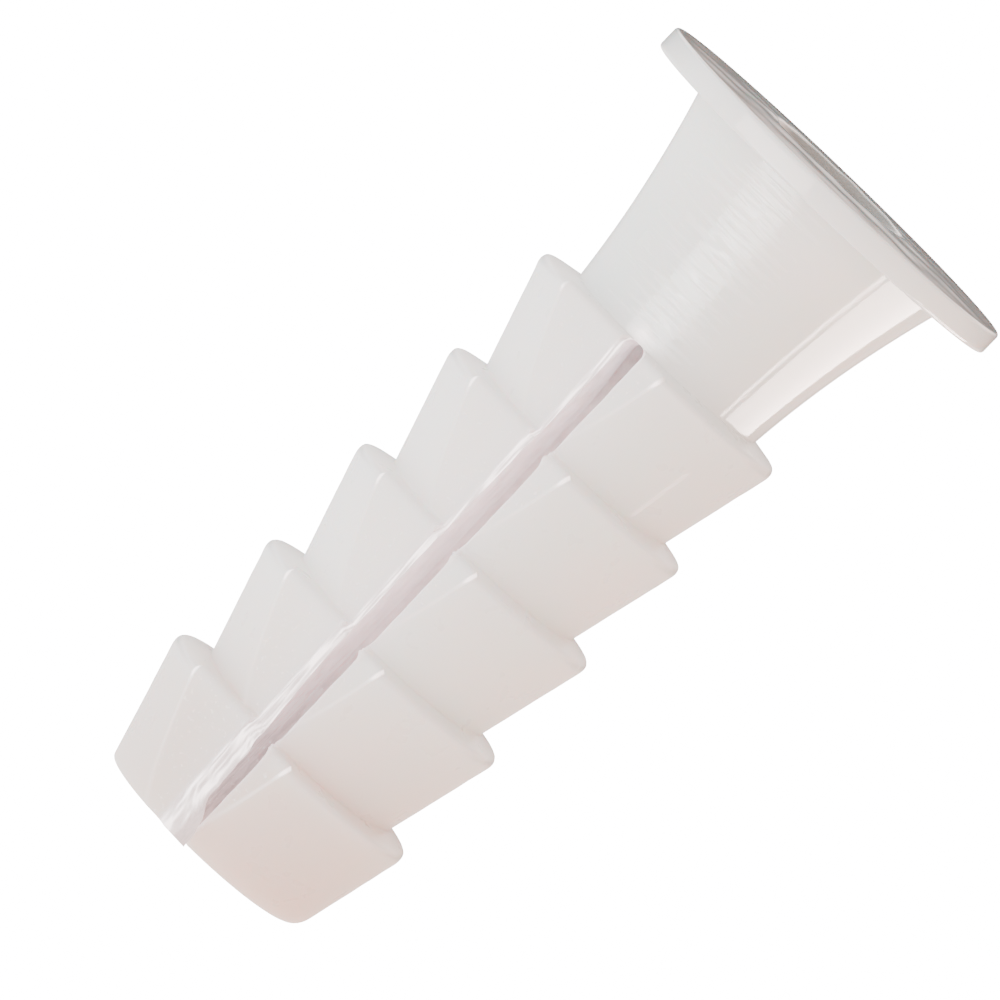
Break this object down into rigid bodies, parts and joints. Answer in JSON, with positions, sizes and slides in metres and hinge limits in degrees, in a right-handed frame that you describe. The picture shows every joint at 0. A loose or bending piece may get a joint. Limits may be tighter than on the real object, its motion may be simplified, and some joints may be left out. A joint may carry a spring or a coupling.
{
  "type": "wall anchor",
  "caption": "Slotted nylon wall anchor with a flat collar, a flared neck and two barbed legs that a screw spreads apart.",
  "frame": {"origin": "on the screw's axis in the plane of the wall, which is the collar's underside", "axes": "+Z out of the wall along the screw's axis; the slot runs along Y, so the legs lie at -X and +X"},
  "size_m": [0.0144, 0.0144, 0.03],
  "materials": {
    "nylon": "milky, slightly translucent natural nylon with a satin moulded surface"
  },
  "bodies": {
    "root": {"collar": "nylon", "neck": "nylon"},
    "left_leg": {"left_leg": "nylon", "left_barb_1": "nylon", "left_barb_2": "nylon", "left_barb_3": "nylon", "left_barb_4": "nylon", "left_barb_5": "nylon"},
    "right_leg": {"right_leg": "nylon", "right_barb_1": "nylon", "right_barb_2": "nylon", "right_barb_3": "nylon", "right_barb_4": "nylon", "right_barb_5": "nylon"}
  },
  "joints": [
    {"name": "left_leg_hinge", "type": "hinge", "parent": "root", "child": "left_leg", "pos_m": [-0.00415, 0, -0.00735], "axis": [0, 1, 0], "range_deg": [-1.4, 4], "stiffness_Nm_per_rad": 0.005},
    {"name": "right_leg_hinge", "type": "hinge", "parent": "root", "child": "right_leg", "pos_m": [0.00415, 0, -0.00735], "axis": [0, -1, 0], "range_deg": [-1.4, 4], "stiffness_Nm_per_rad": 0.005}
  ],
  "couplings": [
    {"joint": "right_leg_hinge", "follows": "left_leg_hinge", "ratio": 1}
  ]
}
